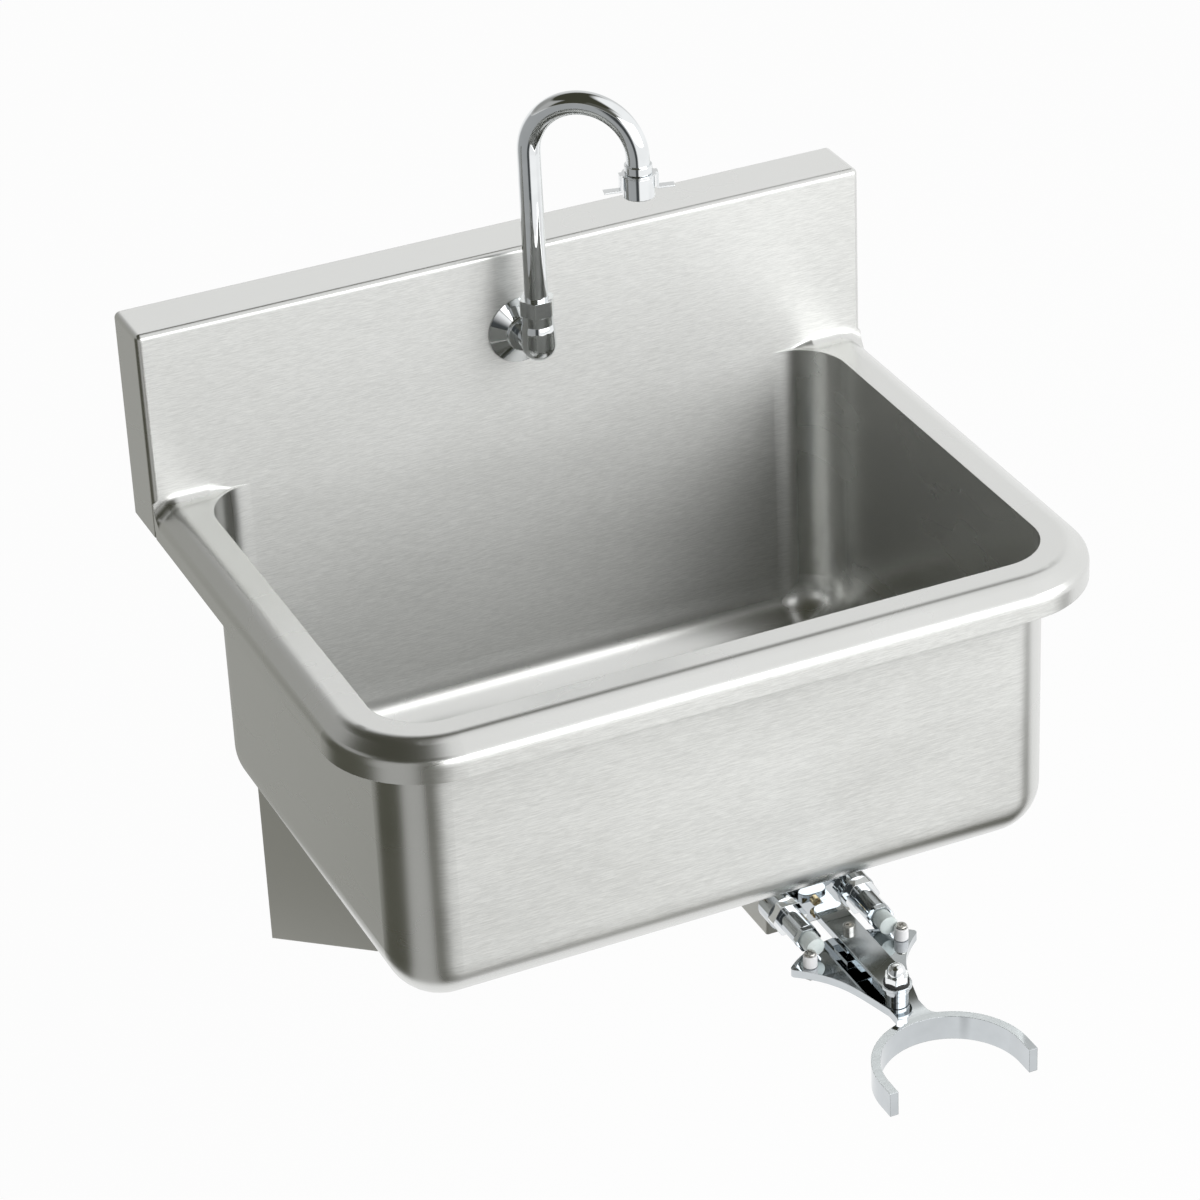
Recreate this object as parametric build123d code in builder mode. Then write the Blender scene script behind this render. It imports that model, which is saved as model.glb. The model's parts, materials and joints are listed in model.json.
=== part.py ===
"""Wall-mounted hand sink with a swivelling gooseneck spout and a knee-operated mixing valve.

Millimetres. +Z is up, +Y runs into the wall, and +X is to the right of someone who stands at the sink.
The origin is on the wall's face, on the centre line, at the height of the hanger's screws.
"""

import math
import os

from build123d import *

os.makedirs("parts", exist_ok=True)

# Sink shell
sink_width = 635.0
sink_depth = 495.3
sheet = 1.5
rim_z = -121.0
rim_width = 38.1
rim_height = 29.7
shoulder_run = 15.4
shoulder_drop = 12.7
crease_radius = 14.0
knee_radius = 10.0
roll_radius = 7.0
bowl_drop = 259.5
bowl_corner_radius = 44.45
cove_radius = 42.0
splash_height = 151.0
splash_depth = 50.8
splash_edge_radius = 5.0
junction_radius = 11.0
junction_taper = 0.62
hook_drop = 12.0

# Wall hanger
hanger_inset = 57.5
hanger_gauge = 2.5
hanger_below = 13.0
hanger_jog_z = 9.0
hook_room = 2.5
hanger_screw_pitch = 406.4
hanger_slot_length = 16.0
wall_screw_hole = 7.0
rest_gap = 0.2

# Support brackets under the bowl
bracket_gauge = 2.0
bracket_reach = 371.0
bracket_height = 213.0
bracket_nose = 3.0
bracket_flange = 25.0
bracket_inset = 42.4
stud_diameter = 6.0
stud_length = 11.0
stud_hole = 6.6
stud_y = (-120.0, -300.0)
bracket_screw_pitch = 110.0
bracket_screw_drop = 50.0
stud_nut_flats = 10.0
stud_nut_height = 5.0

# Drain
drain_y = -254.0
drain_hole_gap = 1.5
drain_flange_width = 14.0
drain_flange_height = 2.4
drain_cup_diameter = 86.0
drain_cup_drop = 40.0
drain_wall = 2.0
drain_outlet = 34.0
drain_stub_diameter = 46.0
drain_stub_length = 16.0
grid_gauge = 1.5
grid_drop = 7.0
grid_hole = 6.0
grid_pitch = 9.5
grid_gap = 0.3
gasket_height = 3.0
gasket_width = 10.0
locknut_height = 10.0
locknut_width = 9.0
locknut_lugs = 4
locknut_lug = 12.0
tailpiece_diameter = 38.1
tailpiece_grip_diameter = 38.9
tailpiece_grip_below_nut = 0.8
tailpiece_wall = 1.2
tailpiece_length = 62.0
slip_washer_height = 3.0
slip_nut_height = 17.0
slip_nut_diameter = 54.0
slip_nut_lugs = 8
slip_nut_lip = 3.0
thread_gap = 0.1

# Faucet
faucet_x = 7.0
faucet_rise = 79.0
faucet_reach = 37.2
escutcheon_diameter = 57.0
escutcheon_edge = 1.5
escutcheon_cone = 7.5
escutcheon_hub_diameter = 31.0
escutcheon_hub_height = 11.0
escutcheon_wall = 1.4
elbow_leg_diameter = 21.0
elbow_body_diameter = 28.6
elbow_body_lift = 3.5
elbow_bore = 13.0
socket_rise = 90.0
elbow_shoulder_rise = 99.0
elbow_ring_rise = 101.0
elbow_ring_top_rise = 110.0
elbow_ring_diameter = 25.5
elbow_neck_diameter = 22.4
elbow_neck_height = 9.0
shank_clear_of_wall = 12.0
shank_tail_diameter = 20.0
shank_tail_gap = 0.8
shank_hole_gap = 0.5
shank_washer_diameter = 36.0
shank_washer_height = 1.5
shank_nut_flats = 30.0
shank_nut_height = 6.0
spout_diameter = 19.05
spout_wall = 1.2
spout_reach = 88.9
spout_rest = 50.0
spout_bend_rise = 252.0
spout_foot_gap = 2.0
spout_leg = 5.0
swivel_gap = 0.05
swivel_nut_flats = 26.0
swivel_nut_rise = 123.5
swivel_nut_lip = 2.0
o_ring_section = 1.3
o_ring_pitch = 4.5
o_ring_first = 5.0

# Outlet
collar_diameter = 22.5
collar_height = 7.2
collar_above_bend = -3.8
nipple_diameter = 17.0
nipple_bore = 12.0
nipple_length = 9.0
ring_diameter = 27.0
ring_gauge = 1.4
tab_width = 7.0
tab_step = 0.8
tab_turn = 26.5
tab_drop = 13.0
tab_length = 13.0
tab_clear = 0.5
head_diameter = 25.5
head_height = 18.5
head_bore = 20.5
insert_height = 6.0
insert_hole = 1.6
insert_pitch = 2.9
turn_gap = 0.15

# Knee valve
valve_x = 95.0
pivot_y = -530.5
fork_below_bowl = 51.0
barrel_pitch = 65.0
barrel_above_fork = 11.0
plate_y = -385.0
plate_half_width = 40.5
plate_below_fork = 18.0
plate_depth = 62.0
plate_leg = 50.0
plate_gauge = 2.0
plate_stud_pitch = 44.0
plate_stud_y = -355.0
valve_block_width = 38.0
valve_block_height = 34.0
valve_block_depth = 15.0
valve_bridge_height = 16.0
valve_boss_diameter = 30.0
valve_boss_depth = 18.0
valve_boss_floor = 3.0
port_pitch = 25.0
port_diameter = 18.0
port_length = 20.0
port_bore = 12.0
port_hole_gap = 1.0
valve_screw_side = 22.0
valve_screw_rise = 21.0
valve_ear_diameter = 14.0
valve_ear_depth = 6.0
valve_screw_diameter = 5.0
valve_screw_head = 9.0
valve_screw_head_height = 3.0
bonnet_flats = 27.0
bonnet_height = 9.0
housing_diameter = 20.5
housing_length = 27.0
housing_end_flats = 19.5
housing_end_length = 5.0
housing_bore = 17.0
housing_tail_start = 6.0
housing_tail_bore = 12.0
housing_neck_diameter = 19.0
guide_start = 24.0
guide_length = 6.0
cap_diameter = 15.6
cap_length = 18.0
cap_dome_radius = 22.0
cap_socket = 6.0
plunger_diameter = 8.0
plunger_length = 42.0
plunger_gap = 0.05
spring_wire = 1.0
spring_diameter = 12.5
spring_turns = 5
spring_end_gap = 0.1
contact_gap = 0.1

# Fork and arm
fork_thickness = 7.0
ear_half_width = 57.5
ear_reach = 71.0
ear_tip_radius = 3.5
fork_back_reach = 94.5
fork_flank = ((41.0, 56.0), (29.0, 38.5), (20.5, 16.0))
neck_half_width = 13.0
neck_start = -12.0
neck_flare = 10.0
yoke_inner_radius = 56.5
yoke_wall = 7.0
yoke_reach = 93.6
yoke_depth = 21.0
yoke_tip = 15.4
roller_x = 40.5
roller_y = 68.0
roller_diameter = 11.5
roller_height = 10.5
roller_gap = 0.05
roller_float = 0.3
roller_screw_diameter = 5.0
roller_screw_head = 9.5
roller_screw_head_height = 2.2
roller_nut_flats = 8.0
roller_nut_height = 4.0
arm_width = 24.5
arm_gauge = 3.0
arm_rear = 123.0
arm_corner = 8.0
arm_edge = 0.5
arm_above_fork = 14.0
tongue_left = -10.0
tongue_right = 12.0
tongue_notch = 12.0
tongue_notch_gap = 1.5
tongue_height = 7.0
tongue_reach = 64.0
block_screw_pitch = 12.0
block_screw_side = -4.0
block_screw_top = 2.0
block_screw_head = 7.5
block_screw_head_height = 2.6
block_screw_diameter = 4.0
block_screw_length = 9.0
arm_boss_diameter = 20.0
arm_boss_height = 5.0
fork_boss_diameter = 18.5
thrust_gap = 0.3
pivot_diameter = 8.0
pivot_head_flats = 13.0
pivot_head_height = 5.0
pivot_gap = 0.05
bush_wall = 1.5
washer_diameter = 20.5
washer_height = 1.5
acorn_flats = 17.5
acorn_hex_height = 6.0
acorn_dome_diameter = 14.5
acorn_height = 15.5
bolt_in_acorn = 8.5
stop_y = 80.0
stop_head = 9.5
stop_thread = 5.0
stop_proud = 5.0
stop_socket_flats = 5.0
stop_socket_depth = 3.0
slot_width = 1.2
slot_depth = 1.2
slot_turn = 35.0

# Places worked out from the sizes
half_width = sink_width / 2
bowl_half = half_width - rim_width
bracket_x = bowl_half - bracket_inset
hanger_length = sink_width - 2 * hanger_inset
bowl_front = sink_depth - rim_width
floor_z = rim_z - bowl_drop
apron_z = rim_z - rim_height
splash_top_z = rim_z + splash_height
faucet_z = rim_z + faucet_rise
riser_y = -(splash_depth + faucet_reach)
under_z = floor_z - sheet
drain_hole = drain_cup_diameter + 2 * drain_hole_gap
drain_flange_diameter = drain_cup_diameter + 2 * drain_flange_width
gasket_diameter = drain_cup_diameter + 2 * gasket_width
locknut_diameter = drain_cup_diameter + 2 * locknut_width
fork_z = under_z - fork_below_bowl
valve_z = fork_z + barrel_above_fork
bracket_screw_z = (under_z - bracket_screw_drop, under_z - bracket_screw_drop - bracket_screw_pitch)
o_ring_rises = (socket_rise + o_ring_first, socket_rise + o_ring_first + o_ring_pitch)
swing = math.radians(spout_rest)
spout_aim = (math.sin(swing), -math.cos(swing))
outlet_x = faucet_x + spout_reach * spout_aim[0]
outlet_y = riser_y + spout_reach * spout_aim[1]
outlet_z = rim_z + spout_bend_rise + collar_above_bend
plate_top_z = under_z - rest_gap
block_y = plate_y - valve_block_depth
arm_top_z = fork_z + arm_above_fork
arm_under_z = arm_top_z - arm_gauge
tongue_end_y = pivot_y + tongue_reach
valve_screw_places = ((-valve_screw_side, valve_screw_rise), (valve_screw_side, valve_screw_rise))
port_offsets = (-port_pitch, 0, port_pitch)
block_screw_places = (
    (block_screw_side, block_screw_top),
    (block_screw_side, block_screw_top - block_screw_pitch),
)
stop_down = Plane(origin=(valve_x, pivot_y + stop_y, arm_top_z), z_dir=(0, 0, -1))


def save(builder, name):
    """Label a finished piece and write it to its own file."""
    builder.part.label = name
    export_step(builder.part, f"parts/{name}.step")


def wall_plane(y):
    """Plane whose sketch x is +X and whose sketch y is +Z, facing the user, at depth y."""
    return Plane(origin=(0, y, 0), x_dir=(1, 0, 0), z_dir=(0, -1, 0))


def side_plane(x):
    """Plane whose sketch x is +Y and whose sketch y is +Z, facing +X."""
    return Plane(origin=(x, 0, 0), x_dir=(0, 1, 0), z_dir=(1, 0, 0))


def tube(plane, start, length, outer, inner=0):
    """Round bar or tube on a plane's normal, from start onward."""
    with BuildPart() as bar:
        with BuildSketch(plane.offset(start)):
            Circle(outer / 2)
            if inner:
                Circle(inner / 2, mode=Mode.SUBTRACT)
        extrude(amount=length)
    return bar.part


def hex_bar(plane, start, length, flats, inner=0):
    """Six-sided bar on a plane's normal with its outer corners broken."""
    with BuildPart() as bar:
        with BuildSketch(plane.offset(start)):
            hexagon(flats)
        extrude(amount=length)
        with BuildSketch(plane.offset(start)):
            Circle(flats * 0.56)
        extrude(amount=length, mode=Mode.INTERSECT)
        if inner:
            with BuildSketch(plane.offset(start)):
                Circle(inner / 2)
            extrude(amount=length, mode=Mode.SUBTRACT)
    return bar.part


def stud_places():
    """Plan positions of the studs: two for each bracket, two for the knee valve's plate."""
    side = bracket_x - bracket_flange / 2
    places = [(hand * side, y) for hand in (-1, 1) for y in stud_y]
    return places + [(valve_x + hand * plate_stud_pitch / 2, plate_stud_y) for hand in (-1, 1)]


def hexagon(flats):
    """Regular hexagon with a given distance across its flats."""
    RegularPolygon(radius=flats / 2, side_count=6, major_radius=False)


# Sink shell: solid blocks first, then the hollows that leave the sheet


def bowl_outline(grow):
    """Plan of the bowl's inner face, grown outward; its back is in line with the splash's face."""
    with Locations((0, -(splash_depth + bowl_front) / 2)):
        RectangleRounded(
            2 * (bowl_half + grow),
            bowl_front - splash_depth + 2 * grow,
            bowl_corner_radius + grow,
        )


def bowl_block(grow, bottom, top):
    """Solid bowl with a rounded bottom edge."""
    with BuildPart() as block:
        with BuildSketch(Plane.XY.offset(bottom)):
            bowl_outline(grow)
        extrude(amount=top - bottom)
        fillet(block.faces().sort_by(Axis.Z)[0].edges(), cove_radius + grow)
    return block.part


def edge_flare(grow, radius, top, overlap):
    """Ring that widens the bowl's mouth with a quarter round, cut off at the splash's face."""
    with BuildSketch(Plane.XY.offset(top)) as plan:
        bowl_outline(grow)
    path = plan.face().outer_wire()
    outward = (path % 0).cross(Vector(0, 0, 1))
    section = Plane(origin=path @ 0, x_dir=outward, z_dir=outward.cross(Vector(0, 0, 1)))
    with BuildPart() as ring:
        with BuildSketch(section):
            with BuildLine():
                Line((0, -radius), (-overlap, -radius))
                Line((-overlap, -radius), (-overlap, overlap))
                Line((-overlap, overlap), (radius, overlap))
                Line((radius, overlap), (radius, 0))
                RadiusArc((radius, 0), (0, -radius), -radius)
            make_face()
        sweep(path=path)
        split(bisect_by=wall_plane(-splash_depth), keep=Keep.TOP)
    return ring.part


def rim_path():
    """Bowl's edge from the left end of the splash, round the front, to its right end."""
    corner = bowl_corner_radius
    with BuildLine(Plane.XY.offset(rim_z)) as path:
        Line((-bowl_half, -splash_depth), (-bowl_half, -bowl_front + corner))
        RadiusArc((-bowl_half, -bowl_front + corner), (-bowl_half + corner, -bowl_front), -corner)
        Line((-bowl_half + corner, -bowl_front), (bowl_half - corner, -bowl_front))
        RadiusArc((bowl_half - corner, -bowl_front), (bowl_half, -bowl_front + corner), -corner)
        Line((bowl_half, -bowl_front + corner), (bowl_half, -splash_depth))
    return path.wire()


def rim_ring(inset, near, below):
    """Solid rim swept round the bowl: flat top, sloping shoulder and upright apron."""
    slope = math.atan2(shoulder_drop, shoulder_run)
    side = rim_width - inset
    crease = side - shoulder_run - inset * (math.tan(slope / 2) - 1)
    knee = -inset - shoulder_drop + inset * (1 - math.tan((math.pi / 2 - slope) / 2))
    section = Plane(origin=(-bowl_half, -splash_depth, rim_z), x_dir=(-1, 0, 0), z_dir=(0, 1, 0))
    with BuildPart() as ring:
        with BuildSketch(section):
            with BuildLine():
                FilletPolyline(
                    (near, -inset),
                    (crease, -inset),
                    (side, knee),
                    (side, -rim_height - below),
                    radius=(crease_radius - inset, knee_radius - inset),
                )
                Polyline((side, -rim_height - below), (near, -rim_height - below), (near, -inset))
            make_face()
        sweep(path=rim_path())
    return ring.part


def corner_webs(inset, below):
    """Blocks behind the bowl's rear corners, level with the rim."""
    with BuildPart() as webs:
        with BuildSketch(Plane.XY.offset(apron_z - below)):
            for hand in (-1, 1):
                x = hand * (bowl_half - bowl_corner_radius / 2 + 2)
                with Locations((x, -splash_depth - bowl_corner_radius / 2 - 2)):
                    Rectangle(bowl_corner_radius + 8, bowl_corner_radius + 4)
        extrude(amount=rim_height + below - inset)
    return webs.part


def splash_block(inset, below):
    """Outside of the splash with rounded edges, or with an inset the hollow behind its sheet."""
    depth = splash_depth - inset
    behind = 2 * inset
    radius = splash_edge_radius - inset
    with BuildPart() as block:
        with BuildSketch(Plane.XY.offset(apron_z - below)):
            with Locations((0, (behind - depth) / 2)):
                Rectangle(sink_width - 2 * inset, depth + behind)
        extrude(amount=splash_top_z - inset - apron_z + below)
        uprights = block.edges().filter_by(Axis.Z).group_by(Axis.Y)[0]
        fillet(uprights, radius)
        top = block.faces().sort_by(Axis.Z)[-1].edges().filter_by(lambda e: e.center().Y < -1)
        fillet(top, radius)
    return block.part


def bead_section(x, z, tilt, radius, hand):
    """Concave corner section on the splash's face at one point of the rim's outline."""
    up = (-hand * math.sin(tilt), 0, math.cos(tilt))
    along = (math.cos(tilt), 0, hand * math.sin(tilt))
    root = 0.8 * sheet
    plane = Plane(origin=(hand * x, -splash_depth, z), x_dir=(0, -1, 0), z_dir=along)
    turn = 1 if plane.y_dir.dot(Vector(*up)) > 0 else -1
    with BuildSketch(plane) as section:
        with BuildLine():
            Polyline(
                (0, turn * radius),
                (-root, turn * radius),
                (-root, -turn * root),
                (radius, -turn * root),
                (radius, 0),
            )
            RadiusArc((radius, 0), (0, turn * radius), turn * radius)
        make_face()
    return section.sketch


def junction_bead(hand):
    """Concave fillet where the rim runs into the splash, thinning out at the bowl's rear corner."""
    r = bowl_corner_radius
    inner = bowl_half - r
    crease = half_width - shoulder_run
    full = inner + math.sqrt(r * r - (r - junction_radius / junction_taper) ** 2)
    with BuildPart() as bead:
        with BuildLine(Plane.XZ.offset(splash_depth)) as path:
            FilletPolyline(
                (hand * full, rim_z),
                (hand * crease, rim_z),
                (hand * half_width, rim_z - shoulder_drop),
                (hand * half_width, rim_z - shoulder_drop - knee_radius),
                radius=(crease_radius, knee_radius),
            )
        add(bead_section(full, rim_z, 0, junction_radius, hand))
        sweep(path=path.wire())
        split(bisect_by=side_plane(hand * half_width), keep=Keep.BOTTOM if hand > 0 else Keep.TOP)
    sections = []
    for share in (1, 0.72, 0.45, 0.28):
        x = inner + share * (full - inner)
        sagitta = r - math.sqrt(r * r - (x - inner) ** 2)
        out = min(math.hypot(x - inner, r) - r, roll_radius)
        z = rim_z - roll_radius + math.sqrt(roll_radius**2 - (roll_radius - out) ** 2)
        tilt = math.acos(min(1, (z - rim_z + roll_radius) / roll_radius)) / 2
        sections.append(bead_section(x, z, tilt, junction_taper * sagitta, hand))
    with BuildPart() as taper:
        add(sections)
        loft()
    return bead.part, taper.part


with BuildPart() as mouth_room:
    add(edge_flare(0, roll_radius, rim_z, 1))

with BuildPart() as bell:
    add(bowl_block(sheet, floor_z - sheet, rim_z))
    add(edge_flare(sheet, roll_radius - sheet, rim_z - sheet, 1))

with BuildPart() as rim_room:
    add(rim_ring(sheet, sheet / 2, 1))
    add(corner_webs(sheet, 1))
    split(bisect_by=wall_plane(-splash_depth), keep=Keep.TOP)
    add(bell.part, mode=Mode.SUBTRACT)

with BuildPart() as sink_shell:
    add(bowl_block(sheet, floor_z - sheet, rim_z - roll_radius))
    add(rim_ring(0, -sheet / 2, 0))
    add(corner_webs(0, 0))
    split(bisect_by=wall_plane(-splash_depth + sheet), keep=Keep.TOP)
    add(splash_block(0, 0))
    for hand in (-1, 1):
        add(junction_bead(hand))
    add(bowl_block(0, floor_z, rim_z + 1), mode=Mode.SUBTRACT)
    add(mouth_room.part, mode=Mode.SUBTRACT)
    add(rim_room.part, mode=Mode.SUBTRACT)
    add(splash_block(sheet, 1), mode=Mode.SUBTRACT)
    # Flange that hooks over the hanger
    with BuildSketch(wall_plane(0)):
        with Locations((0, splash_top_z - hook_drop / 2)):
            Rectangle(sink_width - 2 * splash_edge_radius, hook_drop)
    extrude(amount=sheet)
    # Holes for the drain and the faucet's shank
    with BuildSketch(Plane.XY.offset(floor_z)):
        with Locations((0, drain_y)):
            Circle(drain_hole / 2)
    extrude(amount=-sheet, mode=Mode.SUBTRACT)
    with BuildSketch(wall_plane(-splash_depth)):
        with Locations((faucet_x, faucet_z)):
            Circle(elbow_leg_diameter / 2 + shank_hole_gap)
    extrude(amount=-sheet, mode=Mode.SUBTRACT)
    # Welded studs for the brackets and the knee valve
    with BuildSketch(Plane.XY.offset(under_z)):
        with Locations(*stud_places()):
            Circle(stud_diameter / 2)
    extrude(amount=-stud_length)
save(sink_shell, "sink_shell")

# Wall hanger: a strip on the wall whose lip carries the splash's top

with BuildPart() as wall_hanger:
    lip_top = splash_top_z - sheet - rest_gap
    step = hook_room / 2
    with BuildSketch(side_plane(-hanger_length / 2)):
        with BuildLine():
            Polyline(
                (0, -hanger_below),
                (0, hanger_jog_z),
                (-hook_room, hanger_jog_z + hook_room),
                (-hook_room, lip_top),
                (-hook_room - hanger_gauge, lip_top),
                (-hook_room - hanger_gauge, hanger_jog_z + hook_room - step),
                (-hanger_gauge, hanger_jog_z - step),
                (-hanger_gauge, -hanger_below),
                (0, -hanger_below),
            )
        make_face()
    extrude(amount=hanger_length)
    with BuildSketch(wall_plane(0)):
        with GridLocations(hanger_screw_pitch / 2, 1, 3, 1):
            SlotOverall(hanger_slot_length, wall_screw_hole)
    extrude(amount=hanger_gauge, mode=Mode.SUBTRACT)
save(wall_hanger, "wall_hanger")

# Support brackets: a gusset with one flange under the bowl and one on the wall


def support_bracket(hand):
    """Folded gusset; its flanges point to the middle of the sink."""
    top = under_z - rest_gap
    foot = under_z - bracket_height
    flange_x = hand * (bracket_x - bracket_flange / 2)
    outer = hand * bracket_x
    with BuildPart() as bracket:
        with BuildSketch(side_plane(outer - (bracket_gauge if hand > 0 else 0))):
            with BuildLine():
                Polyline(
                    (0, top),
                    (0, foot),
                    (-sheet, foot),
                    (-bracket_reach, top - bracket_nose),
                    (-bracket_reach, top),
                    (0, top),
                )
            make_face()
        extrude(amount=bracket_gauge)
        with BuildSketch(Plane.XY.offset(top)):
            with Locations((flange_x, -bracket_reach / 2)):
                Rectangle(bracket_flange, bracket_reach)
        extrude(amount=-bracket_gauge)
        with BuildSketch(wall_plane(0)):
            with Locations((flange_x, (top + foot) / 2)):
                Rectangle(bracket_flange, top - foot)
        extrude(amount=bracket_gauge)
        bends = bracket.edges().filter_by(lambda e: abs(e.center().X - outer) < 0.01)
        rear = bends.filter_by(Axis.Z).sort_by(Axis.Y)[-1]
        crown = bends.filter_by(Axis.Y).sort_by(Axis.Z)[-1]
        fillet([rear, crown], bracket_gauge * 0.9)
        with BuildSketch(Plane.XY.offset(top)):
            with Locations(*[(flange_x, y) for y in stud_y]):
                Circle(stud_hole / 2)
        extrude(amount=-bracket_gauge, mode=Mode.SUBTRACT)
        with BuildSketch(wall_plane(0)):
            with Locations(*[(flange_x, z) for z in bracket_screw_z]):
                SlotOverall(hanger_slot_length, wall_screw_hole, rotation=90)
        extrude(amount=bracket_gauge, mode=Mode.SUBTRACT)
    return bracket


support_bracket_left = support_bracket(-1)
save(support_bracket_left, "support_bracket_left")
support_bracket_right = support_bracket(1)
save(support_bracket_right, "support_bracket_right")

with BuildPart() as stud_nuts:
    for place in stud_places():
        gauge = plate_gauge if place[1] == plate_stud_y else bracket_gauge
        seat = Plane(origin=(place[0], place[1], under_z - rest_gap - gauge), z_dir=(0, 0, -1))
        add(hex_bar(seat, 0, stud_nut_height, stud_nut_flats, stud_diameter))
save(stud_nuts, "stud_nuts")

# Drain, all on one upright axis through the bowl's floor

drain_down = Plane(origin=(0, drain_y, floor_z), z_dir=(0, 0, -1))
cup_bore = drain_cup_diameter - 2 * drain_wall
stub_top = drain_cup_drop
stub_end = stub_top + drain_stub_length

with BuildPart() as drain_strainer:
    add(tube(drain_down, -drain_flange_height, drain_flange_height, drain_flange_diameter, cup_bore))
    rim_edge = drain_strainer.faces().sort_by(Axis.Z)[-1].edges().sort_by(SortBy.RADIUS)[-1]
    fillet(rim_edge, drain_flange_height * 0.8)
    add(tube(drain_down, 0, drain_cup_drop, drain_cup_diameter, cup_bore))
    add(tube(drain_down, grid_drop, drain_wall, drain_cup_diameter, cup_bore - 2 * drain_wall))
    add(tube(drain_down, stub_top - drain_wall, drain_wall, drain_cup_diameter, drain_outlet))
    add(tube(drain_down, stub_top, drain_stub_length, drain_stub_diameter, drain_outlet))
save(drain_strainer, "drain_strainer")

with BuildPart() as drain_grid:
    add(tube(drain_down, grid_drop - grid_gauge, grid_gauge, cup_bore - 2 * grid_gap))
    with BuildSketch(drain_down.offset(grid_drop)):
        with HexLocations(grid_pitch / 2, 7, 7):
            Circle(grid_hole / 2)
        Circle(cup_bore / 2 - 2 * grid_hole / 2, mode=Mode.INTERSECT)
    extrude(amount=-grid_gauge, mode=Mode.SUBTRACT)
save(drain_grid, "drain_grid")

with BuildPart() as drain_gasket:
    add(tube(drain_down, sheet, gasket_height, gasket_diameter, drain_cup_diameter))
save(drain_gasket, "drain_gasket")

with BuildPart() as drain_locknut:
    nut_start = sheet + gasket_height
    nut_ring = drain_cup_diameter + 0.6 * (locknut_diameter - drain_cup_diameter)
    add(tube(drain_down, nut_start, locknut_height, nut_ring))
    add(tube(drain_down, nut_start, drain_wall, locknut_diameter))
    with BuildSketch(drain_down.offset(nut_start)):
        with PolarLocations((nut_ring + locknut_diameter) / 4, locknut_lugs):
            Rectangle((locknut_diameter - nut_ring) / 2 + 2, locknut_lug)
        Circle(locknut_diameter / 2 - 0.5, mode=Mode.INTERSECT)
    extrude(amount=locknut_height)
    nut_bore = drain_cup_diameter + 2 * thread_gap
    add(tube(drain_down, nut_start, locknut_height, nut_bore), mode=Mode.SUBTRACT)
save(drain_locknut, "drain_locknut")

washer_start = stub_end + tailpiece_wall
slip_end = washer_start + slip_washer_height + slip_nut_lip
slip_start = slip_end - slip_nut_height

with BuildPart() as tailpiece:
    bore = tailpiece_diameter - 2 * tailpiece_wall
    grip = slip_end + tailpiece_grip_below_nut - stub_end
    add(tube(drain_down, stub_end, tailpiece_wall, drain_stub_diameter - 1, bore))
    add(tube(drain_down, stub_end, grip, tailpiece_grip_diameter, bore))
    add(tube(drain_down, stub_end, tailpiece_length, tailpiece_diameter, bore))
save(tailpiece, "tailpiece")

with BuildPart() as slip_washer:
    washer_outer = drain_stub_diameter - 1
    add(tube(drain_down, washer_start, slip_washer_height, washer_outer, tailpiece_grip_diameter))
save(slip_washer, "slip_washer")

with BuildPart() as slip_nut:
    thread_length = slip_nut_height - slip_nut_lip
    thread_bore = drain_stub_diameter + 2 * thread_gap
    lip_bore = tailpiece_grip_diameter + 2 * thread_gap
    add(tube(drain_down, slip_start, slip_nut_height, slip_nut_diameter))
    with BuildSketch(drain_down.offset(slip_start)):
        with PolarLocations(slip_nut_diameter / 2, slip_nut_lugs):
            Circle(slip_nut_lip)
    extrude(amount=thread_length)
    add(tube(drain_down, slip_start, thread_length, thread_bore), mode=Mode.SUBTRACT)
    add(tube(drain_down, slip_start, slip_nut_height, lip_bore), mode=Mode.SUBTRACT)
save(slip_nut, "slip_nut")

# Faucet: the shank's axis runs out of the splash, the riser's axis is upright

shank_out = Plane(origin=(faucet_x, -splash_depth, faucet_z), x_dir=(1, 0, 0), z_dir=(0, -1, 0))
riser_up = Plane(origin=(faucet_x, riser_y, rim_z), x_dir=(1, 0, 0), z_dir=(0, 0, 1))

with BuildPart() as escutcheon:
    big = escutcheon_diameter / 2
    hub = escutcheon_hub_diameter / 2
    wall = escutcheon_wall
    with BuildSketch(Plane(origin=shank_out.origin, x_dir=(1, 0, 0), z_dir=(0, 0, -1))):
        with BuildLine():
            Polyline(
                (big, 0),
                (big, escutcheon_edge),
                (hub, escutcheon_cone),
                (hub, escutcheon_hub_height),
                (elbow_leg_diameter / 2 + swivel_gap, escutcheon_hub_height),
                (elbow_leg_diameter / 2 + swivel_gap, escutcheon_cone - wall),
                (hub - wall, escutcheon_cone - wall),
                (big - 2 * wall, 0),
                (big, 0),
            )
        make_face()
    revolve(axis=Axis(shank_out.origin, (0, -1, 0)))
    front = escutcheon.edges().filter_by(GeomType.CIRCLE).sort_by(Axis.Y)[0:2]
    fillet(front.sort_by(SortBy.RADIUS)[-1], 1.2)
save(escutcheon, "escutcheon")

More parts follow.
